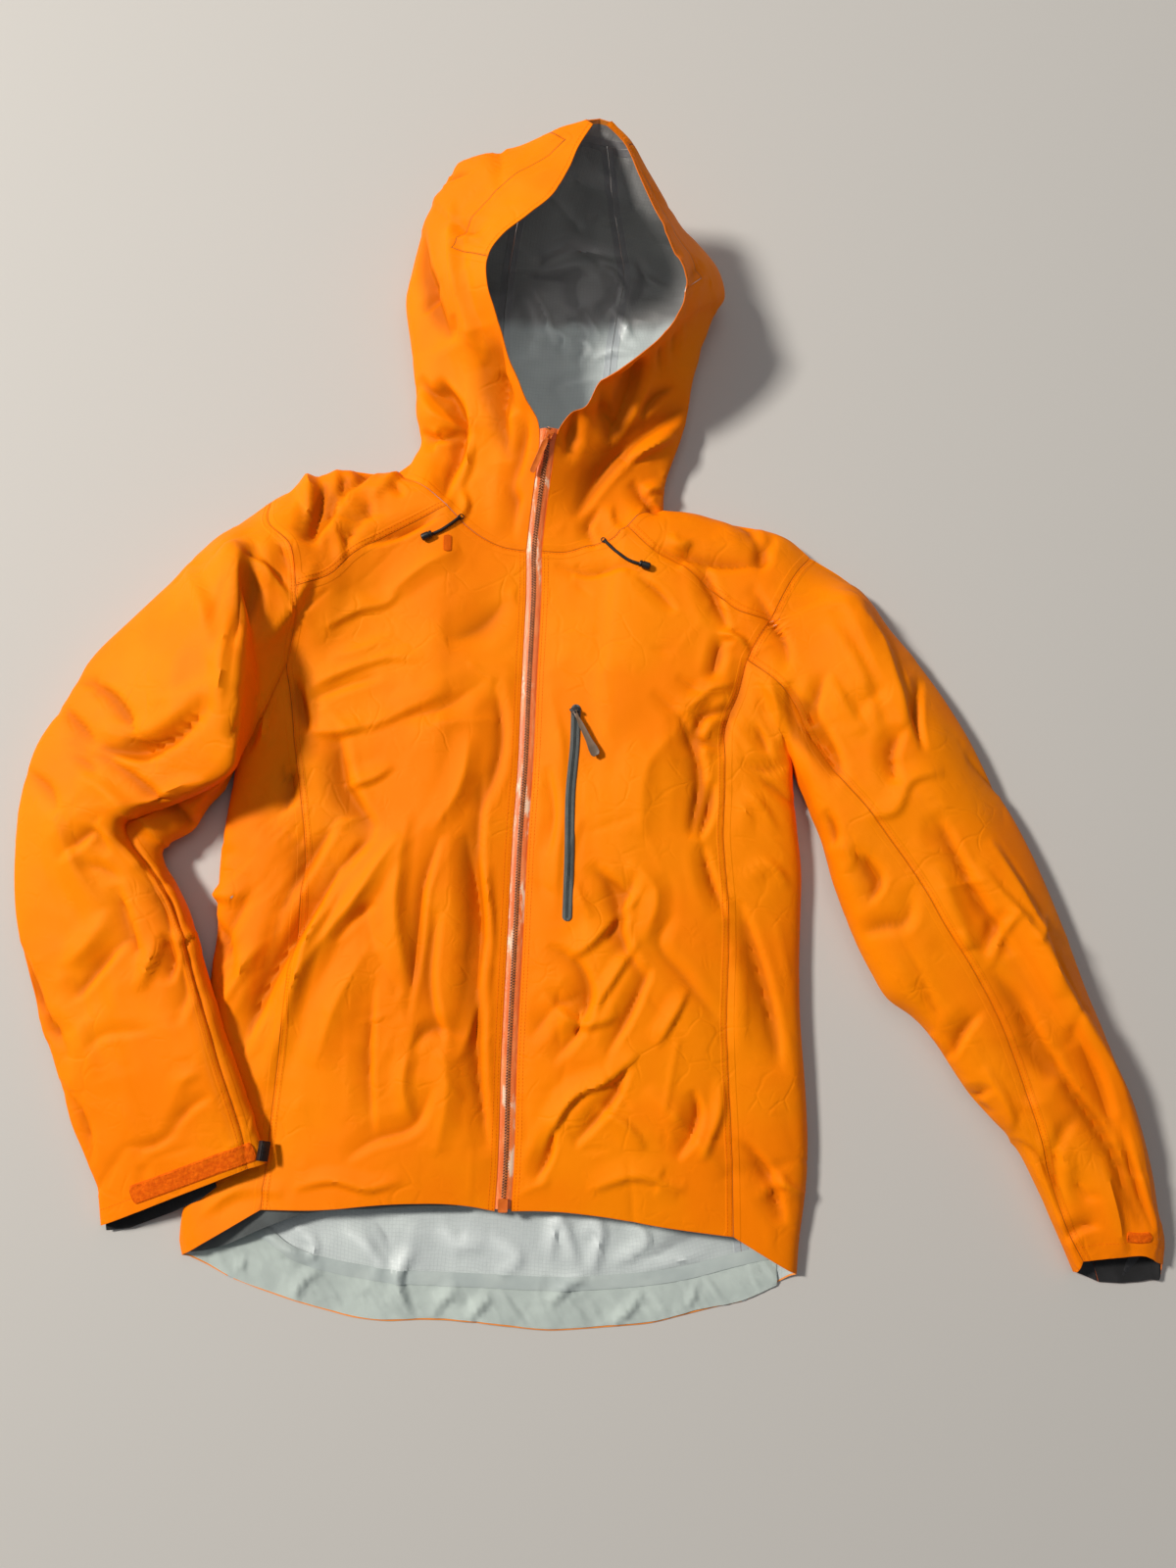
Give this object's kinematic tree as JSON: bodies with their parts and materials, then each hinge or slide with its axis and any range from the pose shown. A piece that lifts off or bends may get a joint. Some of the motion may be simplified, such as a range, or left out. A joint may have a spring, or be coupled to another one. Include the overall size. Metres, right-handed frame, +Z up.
{
  "type": "shell jacket",
  "caption": "Hooded waterproof shell jacket lying flat, face up, with a front zip, a chest pocket zip, drawcords and hook-tape cuff patches.",
  "frame": {"origin": "middle of the jacket's outline as it lies, on the surface it rests on", "axes": "+Z up from the surface; +Y from the hem to the hood; +X towards the wearer's left, which is the right-hand side seen from above"},
  "size_m": [1.043, 1.0811, 0.1312],
  "materials": {
    "shell_cloth": "fine plain-woven waterproof shell, matte with a slight sheen",
    "facing_cloth": "grey-green woven facing, matte",
    "zip_tape": "coated water-resistant zip tape, satin to glossy",
    "zip_teeth": "fine coil teeth under the tape's coating",
    "slate_zip": "slate-grey coated zip and moulded pull",
    "dark_slider": "dark painted slider",
    "cord": "black braided elastic cord",
    "black_rubber": "soft black moulded ends",
    "hook_tape": "orange hook tape, matte",
    "cuff_facing": "black woven facing, matte"
  },
  "bodies": {
    "jacket": {"back": "shell_cloth", "front_right": "shell_cloth", "front_left": "shell_cloth", "side_right": "shell_cloth", "side_left": "shell_cloth", "sleeve_right": "shell_cloth", "sleeve_left": "shell_cloth", "yoke_right": "shell_cloth", "yoke_left": "shell_cloth", "hood_side_right": "shell_cloth", "hood_side_left": "shell_cloth", "hood_crown": "shell_cloth", "hood_brim": "shell_cloth", "hem_facing": "facing_cloth", "cuff_facing_right": "cuff_facing", "cuff_facing_left": "cuff_facing", "zip_tape_right": "zip_tape", "zip_tape_left": "zip_tape", "zip_chain": "zip_teeth", "zip_box": "zip_tape", "zip_slider": "zip_tape", "pocket_zip": "slate_zip", "pocket_slider": "dark_slider", "drawcord_right": "cord", "drawcord_left": "cord", "cord_end_right": "black_rubber", "cord_end_left": "black_rubber", "cord_keeper_right": "black_rubber", "cuff_patch_right": "hook_tape", "cuff_patch_left": "hook_tape", "cuff_tab_end_right": "black_rubber"},
    "zip_pull": {"zip_pull": "zip_tape"},
    "pocket_pull": {"pocket_pull": "slate_zip"}
  },
  "joints": [
    {"name": "zip_pull_hinge", "type": "hinge", "parent": "jacket", "child": "zip_pull", "pos_m": [-0.03106, 0.26762, 0.0692], "axis": [-0.9062, 0.3844, 0.1763], "range_deg": [0, 150]},
    {"name": "pocket_pull_hinge", "type": "hinge", "parent": "jacket", "child": "pocket_pull", "pos_m": [-0.00599, 0.01462, 0.04031], "axis": [-0.8952, -0.4369, -0.0882], "range_deg": [0, 150]}
  ]
}
